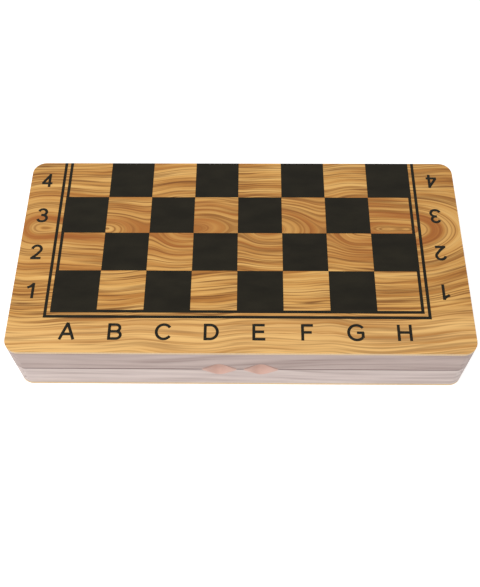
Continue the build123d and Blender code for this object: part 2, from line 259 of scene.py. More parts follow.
def teak_print(name, heart, dips, tones, shift):
    """Teak on a foil. Tones are the pale, middle, streak and line colours, and shift picks the log."""
    material, shader, place = start_material(name)
    pale, middle, streak, line = [linear(*tone) for tone in tones]
    x, distance = ring_distance(place, heart, dips)
    broad = along_grain(x, distance, 150 * mm, 9 * mm, 2.0, shift)
    fine = along_grain(x, distance, 90 * mm, 1.7 * mm, 3.0, shift + 5)
    fibre = along_grain(x, distance, 14 * mm, 0.5 * mm, 2.0, shift + 9)
    pores = along_grain(x, distance, 130 * mm, 3.8 * mm, 1.0, shift + 13)

    bands = broad * 0.55 + fine * 0.3 + fibre * 0.15
    ground = graded(bands, [(0.3, line), (0.4, streak), (0.5, middle), (0.64, pale)])
    ground = blended(between(distance, *edge_band, 0.0, 0.6), ground, edge_tone)
    thin = between(abs(pores - 0.5), 0.1, 0.02) * between(fine, 0.64, 0.44, 0.1, 0.85)
    ground = blended(thin * between(distance, *edge_band, 1.0, 0.55), ground, line)
    rings = (distance * (1 / growth_ring) + fine * 0.9).maths("FRACT")
    crisp = between(rings, 0.45, 0.97) * between(rings, 1.0, 0.97)
    ground = blended(crisp * between(broad, 0.62, 0.4, 0.15, 0.8), ground, streak)
    near_heart = between(distance, *heart_band)
    ground = blended(near_heart * 0.3, ground, streak)
    ground = blended(near_heart * between(broad, 0.52, 0.36, 0.0, 0.6), ground, rust_tone)
    gloss = between(fine, 0.3, 0.7, 0.3, 0.38)
    finish_shader(shader, ground, gloss, fibre, 0.02 * mm, Specular_IOR_Level=0.2)
    return material


# %% Place the figure on the three foils
grid_square = 40 * mm
grid_left, grid_front = -163 * mm, -60 * mm


def on_grid(column, row):
    """A place on the upper board, counted in squares from the near left corner of A1."""
    return grid_left + column * grid_square, grid_front + row * grid_square


def dips_at(*eyes):
    """Where the heart rises: the column on the board, its reach to the right and its rise in millimetres,
    and how many times steeper it falls on the left."""
    return [(on_grid(column, 0)[0], reach * mm, rise * mm, steep) for column, reach, rise, steep in eyes]


teak_tones = [(231, 184, 111), (213, 160, 87), (177, 118, 54), (118, 72, 30)]
inside_tones = [(228, 180, 120), (208, 156, 96), (172, 116, 62), (136, 84, 42)]
board_heart, inside_heart = (on_grid(0, 2.12)[1], 38 * mm), (8 * mm, 34 * mm)
board_dips = dips_at(
    (-0.3, 46, 33, 1.4), (0.95, 48, 27, 2.2), (2.85, 58, 32, 2.2),
    (4.7, 50, 30, 2.4), (6.75, 52, 28, 2.2), (7.9, 60, 27, 1.8))
under_dips = dips_at((0.8, 60, 30, 2.0), (3.7, 56, 27, 2.2), (6.4, 58, 32, 1.8))
inside_dips = dips_at((0.9, 60, 26, 1.8), (3.2, 56, 28, 2.2), (5.9, 60, 24, 1.6))
board_print = teak_print("board_print", board_heart, board_dips, teak_tones, 0.0)
under_print = teak_print("under_print", board_heart, under_dips, teak_tones, 17.0)
inside_print = teak_print("inside_print", inside_heart, inside_dips, inside_tones, 31.0)
print("printed finishes made:", board_print.name, under_print.name, inside_print.name)

# %% [markdown]
# ## Printing ink
# The dark squares, lines and letters are one nearly black ink. It isn't perfectly even: a faint
# cloudiness in its gloss is what makes a large dark square look printed and not like a hole.


# %% The inks
def printing_ink(name, colour, cloudy):
    """A dark ink with faint clouds. Cloudy is how many times lighter they are."""
    material, shader, place = start_material(name)
    clouds = noise(place, (40, 90, 90), 3.0)
    ink = linear(*colour)
    lighter = (*[part * cloudy for part in ink[:3]], 1.0)
    tint = blended(between(clouds, 0.35, 0.7), ink, lighter)
    finish_shader(shader, tint, between(clouds, 0.3, 0.7, 0.3, 0.42), Specular_IOR_Level=0.1)
    return material


board_ink = printing_ink("board_ink", (28, 25, 17), 1.5)
point_ink = printing_ink("point_ink", (58, 34, 24), 1.3)
point_red = printing_ink("point_red", (142, 62, 34), 1.2)
print("inks mixed:", board_ink.name, point_ink.name, point_red.name)

# %% [markdown]
# ## Solid wood
# The rails are pale, slightly pink poplar. Real wood is solid all the way through, so its pattern is
# worked out in space: growth rings are wide circles round the log's middle, far from the rail, and
# stretched along it. The long faces then show lines, and the finger ends show end grain by themselves.


# %% Wood that is solid
def solid_wood(name, along, pith, tones, ring_width, gloss, pore, finish=None, **constants):
    """Solid wood whose grain runs along one axis. Pith is the log's middle, and tones are pale, middle and
    dark."""
    material, shader, place = start_material(name)
    pale, middle, dark = [linear(*tone) for tone in tones]
    stretch, fibres = [14.0] * 3, [900.0] * 3
    stretch[along], fibres[along] = 2.2, 45.0
    parts = separated(place)
    one, other = [part - pith[axis] for axis, part in enumerate(parts) if axis != along]
    radius = (one * one + other * other).maths("SQRT") + noise(place, stretch, 2.0) * (9 * ring_width)
    growth = along_grain(parts[along], radius, 120 * mm, ring_width, 2.0)
    fibre = noise(place, fibres, 2.0)
    tint = graded(growth, [(0.28, dark), (0.46, middle), (0.68, pale)])
    tint = blended(between(fibre, 0.5, 0.8, 0.0, 0.35), tint, dark)
    if finish:
        tint = finish(parts, tint)
    finish_shader(shader, tint, between(fibre, 0.3, 0.7, *gloss), fibre, pore, **constants)
    return material


# %% [markdown]
# The box has been handled: the two thumb scoops are rubbed to pinker, cleaner wood. Painted shade
# darkens the seam, and a painted shadow lies along the upper edge of each scoop. Each scoop is a hollow
# turned about a line in front of the box and deepest in its middle, and the same sums find it here.

# %% Wear and painted shade on the front rails
scoop_middle, scoop_reach, scoop_sink, scoop_axis = 18 * mm, 16 * mm, 6 * mm, 5.33 * mm
seam_z = (lowest.z + highest.z) / 2
# Painted shade for the seam, rubbed wood for the scoops, and painted shadow for the scoops' upper edge.
seam_painted_shade, rubbed_wood, lip_shade = linear(112, 90, 86), linear(214, 174, 158), linear(124, 96, 90)


def worn_front(parts, tint):
    """Painted shade along the seam of the front and back faces, rubbed wood in the two thumb scoops,
    and a painted shadow along their upper edge.
    """
    x, y, z = parts
    front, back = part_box("lower_front_rail")[0].y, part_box("lower_back_rail")[1].y
    inward, up = y - front, z - seam_z
    share = between(abs(abs(x) - scoop_middle), 0.0, scoop_reach)
    swell = 1.0 - share * share * (3.0 - share * 2.0)
    out = inward + scoop_axis
    room = swell * scoop_sink + scoop_axis - (out * out + up * up).maths("SQRT")
    hollow = between(room, -0.5 * mm, -0.15 * mm) * between(swell, 0.0, 0.05)
    outer = [between(depth, 0.7 * mm, 0.3 * mm) for depth in (inward, back - y)]
    beside = outer[0].maths("MAXIMUM", outer[1]) * (1.0 - hollow)
    # Painted shade: a dark band along the seam, outside the scoops.
    seam_shade_mask = beside * between(abs(up), 1.3 * mm, 0.4 * mm, 0.0, 0.8)
    # Painted shadow along the upper edge of each scoop, near the front face.
    lip_shadow_mask = between(inward, 2.4 * mm, 0.2 * mm, 0.0, 0.6) * between(up, 0.2 * mm, 1.2 * mm)
    tint = blended(seam_shade_mask, tint, seam_painted_shade)
    tint = blended(hollow * 0.85, tint, rubbed_wood)
    return blended(lip_shadow_mask * hollow, tint, lip_shade)


# %% Poplar rails, and the woods of the men
rail_tones_upper_painted_shade = {
    # The upper tray's tones are darker than the lower's: painted shade.
    "upper": [(197, 178, 171), (183, 163, 156), (158, 137, 131)],
    "lower": [(220, 204, 197), (206, 189, 183), (180, 161, 155)],
}
sawn = {"ring_width": 3.4 * mm, "gloss": (0.5, 0.62), "pore": 0.05 * mm, "Specular_IOR_Level": 0.3}
rail_woods = {}
for tray, pith_z in (("upper", 130 * mm), ("lower", -50 * mm)):
    log = {"tones": rail_tones_upper_painted_shade[tray], **sawn}
    long_wood = solid_wood(f"{tray}_long_rail_wood", 0, (0, 30 * mm, pith_z), finish=worn_front, **log)
    end_wood = solid_wood(f"{tray}_end_rail_wood", 1, (30 * mm, 0, pith_z), **log)
    for side, wood in (("front", long_wood), ("back", long_wood), ("left", end_wood), ("right", end_wood)):
        rail_woods[f"{tray}_{side}_rail"] = wood

men_tones = {
    "light": [(240, 204, 144), (228, 186, 122), (198, 150, 88)],
    "dark": [(96, 54, 34), (72, 39, 25), (46, 25, 17)],
}
lacquer = {"gloss": (0.22, 0.32), "pore": 0.02 * mm, "Coat_Weight": 0.4, "Coat_Roughness": 0.12}
men_woods = {
    colour: solid_wood(f"{colour}_wood", 1, (0, 0, -20 * mm), tones, 1.6 * mm, **lacquer)
    for colour, tones in men_tones.items()
}
print("woods made for", len(rail_woods), "rails and", len(men_woods), "sets of men")

# %% [markdown]
# ## Board, brass and steel
# The panel under the foil is a thin fibreboard whose cut edge shows all round. The hinges and screws are
# brass plated, with a soft brushed grain that runs along the leaf, and the magnets are bright nickel.


# %% Board and metals
def fibre_board():
    """The cut edge of thin fibreboard: short pale fibres, quite matt."""
    material, shader, place = start_material("panel_board")
    flecks = noise(place, (700, 700, 2600), 3.0)
    tint = graded(flecks, [(0.35, linear(214, 184, 140)), (0.6, linear(234, 206, 164))])
    finish_shader(shader, tint, 0.75, flecks, 0.04 * mm)
    return material


def brushed_metal(name, colour, worn, roughness):
    """Plated metal with a brushed grain along X and darker, duller places where it has been touched."""
    material, shader, place = start_material(name)
    brushing = noise(place, (90, 2600, 2600), 2.0)
    patches = noise(place, (160, 160, 160), 3.0)
    tint = blended(between(patches, 0.45, 0.75), linear(*colour), linear(*worn))
    dull = between(patches, 0.4, 0.7, roughness, roughness + 0.1) + between(brushing, 0.3, 0.7, 0.0, 0.12)
    finish_shader(shader, tint, dull, brushing, 0.01 * mm, Metallic=1.0)
    return material


hinge_brass = brushed_metal("hinge_brass", (214, 186, 126), (176, 144, 90), 0.3)

# %% Give every CAD node its finish
finishes = {
    "upper_outer_print": board_print,
    "lower_outer_print": under_print,
    "inner_print": inside_print,
    "panel": fibre_board(),
    "hinge_leaf": hinge_brass,
    "hinge_pin": hinge_brass,
    "screws": brushed_metal("screw_brass", (206, 178, 120), (166, 134, 82), 0.32),
    "magnets": brushed_metal("bright_nickel", (214, 213, 208), (176, 175, 170), 0.18),
    "light_": men_woods["light"],
    "dark_": men_woods["dark"],
    **rail_woods,
}
for name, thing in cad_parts.items():
    for part, material in finishes.items():
        if part in name:
            thing.data.materials.clear()
            thing.data.materials.append(material)
print("finishes given to", len(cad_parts), "nodes")

# %% [markdown]
# ## The dark squares
# Half of the chessboard is on each tray. Thirty-two equal squares on a grid, every second one dark, is work
# for Geometry Nodes: a grid of points, a selection that keeps every second point, and one square of ink
# put on each. The ink lies a few hundredths of a millimetre proud, as silk-screened ink does.


# %% Helpers for Geometry Nodes
def new_tree(name, inputs):
    """A Geometry Nodes tree with named inputs, each with its starting value or, in words, its kind."""
    tree = bpy.data.node_groups.new(name, "GeometryNodeTree")
    for label, value in inputs.items():
        kind = value if isinstance(value, str) else type(value).__name__.title()
        socket = tree.interface.new_socket(name=label, in_out="INPUT", socket_type=f"NodeSocket{kind}")
        if kind != value:
            socket.default_value = value
    tree.interface.new_socket(name="Geometry", in_out="OUTPUT", socket_type="NodeSocketGeometry")
    return tree, {socket.name: Signal(socket) for socket in tree.nodes.new("NodeGroupInput").outputs}


def close_tree(tree, geometry):
    """Realizes the instances, so that the export keeps them, and gives out the result."""
    real = add_node(tree, "GeometryNodeRealizeInstances", {0: geometry})
    add_node(tree, "NodeGroupOutput", {0: real})


def with_material(geometry, material):
    """Sets one material on a geometry."""
    return add_node(geometry.tree, "GeometryNodeSetMaterial", {"Geometry": geometry, "Material": material})


def shape_of(thing):
    """The geometry of an object that is an input."""
    return add_node(thing.tree, "GeometryNodeObjectInfo", {"Object": thing}, "Geometry")


def put_on(points, shape, odd, wanted):
    """Puts the shape on the points whose odd signal is 0 or 1, as wanted."""
    operation = "GREATER_THAN" if wanted else "LESS_THAN"
    sides = {"A": odd, "B": 0.5}
    chosen = add_node(points.tree, "FunctionNodeCompare", sides, data_type="FLOAT", operation=operation)
    inputs = {"Points": points, "Selection": chosen, "Instance": shape}
    return add_node(points.tree, "GeometryNodeInstanceOnPoints", inputs)


def baked(host):
    """The mesh of an object after its modifiers. The object itself is removed."""
    mesh = bpy.data.meshes.new_from_object(host.evaluated_get(bpy.context.evaluated_depsgraph_get()))
    bpy.data.objects.remove(host)
    return mesh


def grown_mesh(name, tree, values):
    """Runs a tree once with these input values and returns its result as a plain mesh."""
    host = in_scene(name, bpy.data.meshes.new(name))
    growth = host.modifiers.new("growth", "NODES")
    growth.node_group = tree
    for item in tree.interface.items_tree:
        if item.in_out == "INPUT" and item.name in values:
            growth[item.identifier] = values[item.name]
    return baked(host)


def show(mesh, name, body, slot, *replaced):
    """Makes a finished piece of a mesh whose place is already in its points."""
    mesh.name = name
    piece = in_scene(name, mesh)
    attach(piece, body)
    if replaced:
        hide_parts(*replaced)
    return piece


# %% The tree that lays every second square
ink_rise = 0.04 * mm
ink_slab = 2 * ink_rise
columns, rows = 8, 4


def squares_tree():
    """Every second square of a grid of columns and rows, as thin slabs of ink."""
    tree, given = new_tree("every_second_square", {
        "Columns": columns, "Rows": rows, "Square": grid_square, "Thickness": ink_slab, "First Dark": 0})
    across, deep, square = given["Columns"], given["Rows"], given["Square"]
    points = add_node(tree, "GeometryNodeMeshGrid", {
        "Size X": (across - 1.0) * square, "Size Y": (deep - 1.0) * square,
        "Vertices X": across, "Vertices Y": deep})
    index = add_node(tree, "GeometryNodeInputIndex")
    column, row = index.maths("DIVIDE", deep).maths("FLOOR"), index % deep
    odd = (column + row + given["First Dark"]) % 2.0
    slab = add_node(tree, "GeometryNodeMeshCube", {"Size": combined(square, square, given["Thickness"])})
    close_tree(tree, with_material(put_on(points, slab, odd, 0), board_ink))
    return tree


# %% Lay the dark squares
top_z, bottom_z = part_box("upper_outer_print")[1].z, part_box("lower_outer_print")[0].z
every_second_square = squares_tree()
for tray, z, first_dark in (("upper", top_z, 0), ("lower", bottom_z, 1)):
    mesh = grown_mesh("squares", every_second_square, {"First Dark": first_dark})
    mesh.transform(Matrix.Translation((*on_grid(columns / 2, rows / 2), z)))
    show(mesh, f"{tray}_dark_squares", f"{tray}_tray", "chess_print")
    print("the", tray, "tray has", len(mesh.polygons) // 6, "dark squares")

# %% [markdown]
# ## The double frame
# Two thin lines run round the squares on three sides and stop at the hinged edge, where the other half
# of the board carries on. They are a second coat, a few thousandths of a millimetre above the squares.


# %% Draw the frame lines
def as_mesh(shape, name):
    """Turns a bmesh into a mesh, and frees it."""
    mesh = bpy.data.meshes.new(name)
    shape.to_mesh(mesh)
    shape.free()
    return mesh


def extruded(outlines, vec):
    """A bmesh of slabs: a face through each outline's points, thickened along a vector."""
    shape = bmesh.new()
    for outline in outlines:
        face = shape.faces.new([shape.verts.new(co) for co in outline])
        grown = bmesh.ops.extrude_face_region(shape, geom=[face])
        raised = [item for item in grown["geom"] if isinstance(item, bmesh.types.BMVert)]
        bmesh.ops.translate(shape, verts=raised, vec=vec)
    bmesh.ops.recalc_face_normals(shape, faces=shape.faces)
    return shape


line_width = 2.7 * mm
second_coat = 0.006 * mm
inner_line, outer_line = (-2.8 * mm, -0.5 * mm), (2.7 * mm, 4.8 * mm)
hinge_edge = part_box("upper_outer_print")[1].y


def border(beside, before):
    """One line of the frame: how far its inner edge lies outside the squares at the sides and in front."""
    left, right, front = grid_left - beside, on_grid(columns, 0)[0] + beside, grid_front - before
    far_left, far_right, near = left - line_width, right + line_width, front - line_width
    return [
        (far_left, hinge_edge), (far_left, near), (far_right, near), (far_right, hinge_edge),
        (right, hinge_edge), (right, front), (left, front), (left, hinge_edge),
    ]


for tray, z in (("upper", top_z + second_coat), ("lower", bottom_z - second_coat)):
    lines = [[(x, y, z - ink_rise) for x, y in border(*line)] for line in (inner_line, outer_line)]
    mesh = as_mesh(extruded(lines, (0, 0, ink_slab)), "frame_lines")
    mesh.materials.append(board_ink)
    show(mesh, f"{tray}_frame_lines", f"{tray}_tray", "chess_print")
print("the frame is two lines of", round(line_width / mm, 1), "mm on each tray")

# %% [markdown]
# ## The letters and numbers
# The columns are named along the front and the rows at both sides, in a plain upright type whose strokes
# all have one width. Such type can be drawn as a pen would: each mark is a few paths, and Geometry Nodes
# run one flat nib along all of them. The numbers on the right are turned round for the other player.


# %% The marks as pen strokes, in letter heights
def bend(middle_x, middle_y, reach_x, reach_y, start, end, steps=14):
    """Points along part of an oval, from one angle to another in degrees."""
    angles = [radians(start + (end - start) * step / steps) for step in range(steps + 1)]
    return [(middle_x + reach_x * cos(angle), middle_y + reach_y * sin(angle)) for angle in angles]


stem = [(0, -0.07), (0, 0.93)]
upper_bowl, lower_bowl = bend(0.36, 0.65, 0.21, 0.21, 85, -85), bend(0.38, 0.22, 0.25, 0.22, 85, -85)
marks = {
    "A": [[(0.02, -0.07), (0.41, 0.97)], [(0.39, 0.97), (0.78, -0.07)], [(0.12, 0.27), (0.68, 0.27)]],
    "B": [stem, [(-0.07, 0.86), (0.34, 0.86), *upper_bowl, (0.34, 0.44), (0, 0.44)],
          [(0.34, 0.44), *lower_bowl, (0.34, 0), (-0.07, 0)]],
    "C": [bend(0.41, 0.43, 0.41, 0.44, 36, 324, 28)],
    "D": [stem, [(-0.07, 0.86), (0.25, 0.86), *bend(0.27, 0.43, 0.4, 0.43, 86, -86, 20),
                 (0.25, 0), (-0.07, 0)]],
    "E": [stem, [(0, 0.86), (0.6, 0.86)], [(0, 0.45), (0.57, 0.45)], [(0, 0), (0.63, 0)]],
    "F": [stem, [(0, 0.86), (0.58, 0.86)], [(0, 0.43), (0.5, 0.43)]],
    "G": [bend(0.44, 0.43, 0.44, 0.45, 38, 316, 28), [(0.78, 0.1), (0.78, 0.45)],
          [(0.84, 0.42), (0.45, 0.42)]],
    "H": [stem, [(0.65, -0.07), (0.65, 0.93)], [(0, 0.45), (0.65, 0.45)]],
    "1": [[(0.3, 0.93), (0.3, -0.07)], [(0.33, 0.89), (0.17, 0.72), (-0.03, 0.62)]],
    "2": [[*bend(0.29, 0.61, 0.26, 0.25, 175, -25), (0.3, 0.22), (0.07, 0.02)], [(-0.02, 0), (0.58, 0)]],
    "3": [[*bend(0.28, 0.65, 0.23, 0.21, 165, -75), (0.2, 0.45)],
          [(0.2, 0.45), *bend(0.28, 0.21, 0.27, 0.23, 80, -165)]],
    "4": [[(0.42, 0.93), (0.42, -0.07)], [(0.45, 0.88), (0.02, 0.23)], [(-0.03, 0.21), (0.6, 0.21)]],
    "5": [[(0.52, 0.86), (0.11, 0.86)], [(0.13, 0.9), (0.05, 0.42)], bend(0.27, 0.25, 0.28, 0.26, 140, -160)],
    "6": [[*bend(0.31, 0.61, 0.25, 0.25, 25, 100), *bend(0.33, 0.36, 0.32, 0.46, 115, 180)],
          bend(0.29, 0.24, 0.27, 0.25, 0, 360, 24)],
    "7": [[(0, 0.86), (0.6, 0.86)], [(0.58, 0.86), (0.32, 0.45), (0.2, -0.07)]],
    "8": [bend(0.28, 0.65, 0.21, 0.21, -90, 270, 24), bend(0.28, 0.22, 0.27, 0.23, 90, 450, 24)],
}


# %% The tree that draws with a flat pen
letter_height, pen_width, overlap_lift = 15.4 * mm, 2.5 * mm, 0.004 * mm
mark_middle = 0.43


def pen_tree():
    """Runs a flat rectangular nib along every path. Each path of a mark lies a little higher than the one
    before it, so that no two faces are in one plane where strokes cross."""
    tree, given = new_tree("flat_pen", {
        "Strokes": "Object", "Width": pen_width, "Thickness": ink_slab, "Lift": overlap_lift})
    index = add_node(tree, "GeometryNodeInputIndex")
    stroke = add_node(tree, "GeometryNodeFieldOnDomain", {"Value": index}, data_type="INT", domain="CURVE")
    offset = combined(0.0, 0.0, stroke % 4.0 * given["Lift"])
    lines = shape_of(given["Strokes"])
    paths = add_node(tree, "GeometryNodeSetPosition", {"Geometry": lines, "Offset": offset})
    nib_size = {"Width": given["Width"], "Height": given["Thickness"]}
    nib = add_node(tree, "GeometryNodeCurvePrimitiveQuadrilateral", nib_size)
    sweep = {"Curve": paths, "Profile Curve": nib, "Fill Caps": True}
    close_tree(tree, with_material(add_node(tree, "GeometryNodeCurveToMesh", sweep), board_ink))
    return tree


# %% Print the letters and numbers
flat_pen = pen_tree()


def printed(tray, lines, z, side):
    """The marks of one tray: each is its text, its middle, and 1, or -1 where it is turned round. Side is 1
    on the top of the box and -1 underneath, where the marks are read from below."""
    strokes = bpy.data.curves.new("strokes", "CURVE")
    strokes.dimensions = "3D"
    for text, (x, y), turned in lines:
        width = max(px for path in marks[text] for px, _ in path)
        for path in marks[text]:
            spline = strokes.splines.new("POLY")
            spline.points.add(len(path) - 1)
            for point, (px, py) in zip(spline.points, path):
                aside, up = (px - width / 2) * letter_height, (py - mark_middle) * letter_height
                point.co = (x + turned * aside, y + turned * side * up, 0.0, 1.0)
    drawn = in_scene("strokes", strokes)
    mesh = grown_mesh("letters", flat_pen, {"Strokes": drawn, "Lift": side * overlap_lift})
    bpy.data.objects.remove(drawn)
    mesh.transform(Matrix.Translation((0, 0, z)))
    show(mesh, f"{tray}_letters", f"{tray}_tray", "chess_print")
    print("marks printed on the", tray, "tray:", len(lines))


letter_row, number_columns = -0.51, {-0.49: 1, 8.51: -1}
first_letter, letter_pitch, number_lift = 0.42, 1.016, 0.48
for tray, z, side, numbers in (("upper", top_z, 1, "1234"), ("lower", bottom_z, -1, "8765")):
    lines = [
        (letter, on_grid(first_letter + place * letter_pitch, letter_row), side)
        for place, letter in enumerate("ABCDEFGH")]
    for row, number in enumerate(numbers):
        for column, turned in number_columns.items():
            lines.append((number, on_grid(column, row + number_lift), turned))
    printed(tray, lines, z, side)

# %% [markdown]
# ## The backgammon board
# Inside, each tray is half of a backgammon board. Six long points stand along each short end, one colour
# and then the other, as wide as the draughts that sit on them. One tree draws six points: a triangle is
# put on every place of a line, and the places are split by whether their number is odd.


# %% The tree that draws six points
floor_low, floor_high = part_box("lower_inner_print")
side_gap, end_gap, point_gap = 3 * mm, 2 * mm, 1.2 * mm
points_in_row, point_length = 6, 150 * mm
point_pitch = (floor_high.y - floor_low.y - 2 * side_gap) / points_in_row


def points_tree():
    """A row of long triangles along Y that point to +X, in two colours by turns."""
    tree, given = new_tree("backgammon_points", {
        "Points": points_in_row, "Pitch": point_pitch, "Length": point_length,
        "Width": point_pitch - point_gap, "Thickness": ink_slab})
    half_row = (given["Points"] - 1.0) * (given["Pitch"] * -0.5)
    places = add_node(tree, "GeometryNodeMeshLine", {
        "Count": given["Points"], "Start Location": combined(0.0, half_row, 0.0),
        "Offset": combined(0.0, given["Pitch"], 0.0)})
    prism = add_node(tree, "GeometryNodeMeshCylinder", {"Vertices": 3, "Radius": 2 / 3, "Depth": 1.0})
    prism = add_node(tree, "GeometryNodeTransform", {"Geometry": prism, "Translation": (1 / 3, 0, 0)})
    size = combined(given["Length"], given["Width"] * (sqrt(3) / 2), given["Thickness"])
    point = add_node(tree, "GeometryNodeTransform", {"Geometry": prism, "Scale": size})
    odd = add_node(tree, "GeometryNodeInputIndex") % 2.0
    joined = add_node(tree, "GeometryNodeJoinGeometry")
    for wanted, ink in enumerate((point_ink, point_red)):
        feed(joined.socket.node.inputs[0], put_on(places, with_material(point, ink), odd, wanted))
    close_tree(tree, joined)
    return tree


# %% Draw the points
six_points = points_tree()


def draw_points(tray, z):
    """The twelve points of one tray: a row at each short end, the second turned round."""
    row = grown_mesh("points", six_points, {"Points": points_in_row, "Length": point_length})
    row.transform(Matrix.Translation((floor_low.x + end_gap, 0, z)))
    both = bmesh.new()
    both.from_mesh(row)
    row.transform(Matrix.Rotation(pi, 4, "Z"))
    both.from_mesh(row)
    both.to_mesh(row)
    both.free()
    show(row, f"{tray}_points", f"{tray}_tray", "backgammon_print")


draw_points("lower", floor_high.z)
draw_points("upper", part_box("upper_inner_print")[0].z)
print("each point is", round(point_length / mm), "mm long and", round(point_pitch / mm, 1), "mm wide")

# %% [markdown]
# ## Where the pieces lie
# The CAD nodes say where every chessman, draught and die lies. Each node holds several solids, so a
# merged copy is split into its islands, and the box of each island is the place of one piece. A
# chessman lies on its side, leaning until foot and head both touch the floor.


# %% Find each solid of a node
def corners(points):
    """The lowest and the highest corner of the box round these points."""
    return [Vector([pick(co[axis] for co in points) for axis in range(3)]) for pick in (min, max)]


def solid_boxes(node):
    """The lowest and highest corners of every separate solid of a CAD node, from left to right."""
    copy = bmesh.new()
    copy.from_mesh(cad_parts[node].data)
    bmesh.ops.remove_doubles(copy, verts=copy.verts, dist=0.002 * mm)
    boxes, waiting = [], set(copy.verts)
    while waiting:
        island, edge = [], [waiting.pop()]
        while edge:
            vert = edge.pop()
            island.append(vert.co.copy())
            fresh = {link.other_vert(vert) for link in vert.link_edges} & waiting
            waiting -= fresh
            edge.extend(fresh)
        boxes.append(corners(island))
    copy.free()
    return sorted(boxes, key=lambda pair: pair[0].x)


# %% [markdown]
# ## Turning on a lathe
# Chessmen and draughts are turned. A lathe only needs half an outline: here a pair is a straight cut to
# that radius and height, and a list of pairs is a soft curve through them. Where two cuts meet there is a
# crisp edge, as the turner's tool leaves it. The outline is then swept round the axis.


# %% A lathe in code
smallest = 0.001


def smoothed(points, steps=5):
    """A soft curve through the points, by the Catmull-Rom rule."""
    ends = [points[0], *points, points[-1]]
    soft = [points[0]]
    for a, b, c, d in zip(ends, ends[1:], ends[2:], ends[3:]):
        for step in range(1, steps):
            t = step / steps
            soft.append(tuple(
                q + 0.5 * ((r - p) * t + (2 * p - 5 * q + 4 * r - s) * t**2 + (3 * q - p - 3 * r + s) * t**3)
                for p, q, r, s in zip(a, b, c, d)))
        soft.append(c)
    return soft


def on_lathe(cuts, around=40):
    """Sweeps an outline of radius and height pairs, in millimetres, round the Z axis."""
    outline = []
    for stretch in cuts:
        outline += smoothed([outline[-1], *stretch])[1:] if isinstance(stretch, list) else [stretch]
    shape = bmesh.new()
    turns = [2 * pi * i / around for i in range(around)]
    rings = []
    for radius, height in outline:
        spots = [(radius * cos(t), radius * sin(t), height) for t in turns]
        if radius < smallest:
            spots = [(0, 0, height)]
        rings.append([shape.verts.new(Vector(spot) * mm) for spot in spots])
    for low, high in zip(rings, rings[1:]):
        for i in range(around):
            after = i + 1
            loop = [low[i % len(low)], low[after % len(low)], high[after % len(high)], high[i % len(high)]]
            loop = list(dict.fromkeys(loop))
            if len(loop) > 2:
                shape.faces.new(loop)
    for end in (rings[0], rings[-1]):
        if len(end) > 1:
            shape.faces.new(end)
    bmesh.ops.recalc_face_normals(shape, faces=shape.faces)
    return shape


def round_ball(radius, middle, start):
    """A straight cut to a ball, and its curve from that latitude in degrees to its top."""
    angles = [radians(start + (90 - start) * i / 12) for i in range(13)]
    points = [(radius * cos(a), middle + radius * sin(a)) for a in angles]
    return [points[0], points[1:]]


# %% [markdown]
# ## The six chessmen
# They share one family look, so they share a foot with a rim, a hollow and a bead, and a collar under the
# head. Each man's own head comes on top: a ball, a tower with slots, a mitre with its slanting cut, a
# coronet, a crown with a plain cross, and a carved horse's head. Slots and carved lines are boxes, taken
# away with the Boolean modifier.


# %% Feet, collars and cutters
def man_foot(base, waist, waist_z):
    """The stepped foot, from the felt up to the narrowest place."""
    r = base / 2
    return [
        (0, 0.3), (r * 0.8, 0.3), [(r * 0.8, 0), (r * 0.95, 0)],
        [(r * 0.99, r * 0.05), (r, r * 0.11), (r * 0.97, r * 0.2)], (r * 0.88, r * 0.21),
        [(r * 0.85, r * 0.3), (r * 0.76, r * 0.38)], [(r * 0.78, r * 0.44), (r * 0.72, r * 0.5)],
        [(r * 0.6, r * 0.72), (waist * 1.05, waist_z * 0.75), (waist, waist_z)],
    ]


def man_collar(waist, waist_z, neck, edge, z):
    """From the waist up the neck, out along the collar and in again."""
    return [
        [((waist + neck) / 2, (waist_z + z) / 2), (neck, z - neck * 0.36)], (edge * 0.72, z - neck * 0.2),
        [(edge * 0.96, z - neck * 0.12), (edge, z), (edge * 0.9, z + neck * 0.12)],
        (neck * 1.3, z + neck * 0.2), [(neck * 1.15, z + neck * 0.3), (neck, z + neck * 0.36)],
    ]


def at(x, y, z, turn=0, axis="Z"):
    """A place in millimetres, with a turn in degrees about one axis."""
    return Matrix.Translation((x * mm, y * mm, z * mm)) @ Matrix.Rotation(radians(turn), 4, axis)


def add_box(shape, size, place):
    """Adds a box to a bmesh: its size in millimetres and its place."""
    bmesh.ops.create_cube(shape, size=1.0, matrix=place @ Matrix.Diagonal((*[part * mm for part in size], 1)))


def add_mesh(shape, mesh):
    """Adds a mesh to a bmesh, and removes the mesh."""
    shape.from_mesh(mesh)
    bpy.data.meshes.remove(mesh)


def cut(shape, boxes):
    """Takes boxes away from a shape."""
    cutters = bmesh.new()
    for size, place in boxes:
        add_box(cutters, size, place)
    host, tool = in_scene("host", as_mesh(shape, "host")), in_scene("tool", as_mesh(cutters, "tool"))
    boolean = host.modifiers.new("cut", "BOOLEAN")
    boolean.operation, boolean.object, boolean.solver = "DIFFERENCE", tool, "EXACT"
    result = bmesh.new()
    add_mesh(result, baked(host))
    bpy.data.objects.remove(tool)
    return result


# %% Pawn, rook and bishop
def pawn(base, height):
    """A ball on a collar."""
    head, neck, waist = base * 0.3, base * 0.22, base * 0.26
    middle, waist_z = height - head, height * 0.34
    start = -degrees(acos(neck / head))
    return on_lathe([
        *man_foot(base, waist, waist_z), *man_collar(waist, waist_z, neck, head * 1.18, middle - head),
        *round_ball(head, middle, start)])


def rook(base, height):
    """A tower with four slots in its crown."""
    tower, waist, shaft = base * 0.34, base * 0.27, base * 0.25
    shape = on_lathe([
        *man_foot(base, waist, height * 0.34), [(shaft, height * 0.5), (shaft, height * 0.66)],
        (tower * 0.92, height * 0.7), [(tower, height * 0.72), (tower, height * 0.75)],
        (tower * 0.94, height * 0.77), (tower, height * 0.98), (tower * 0.96, height),
        (tower * 0.68, height), (tower * 0.64, height - 4), (0, height - 4.4)])
    return cut(shape, [((base * 2, 3, 8), at(0, 0, height, turn)) for turn in (0, 90)])


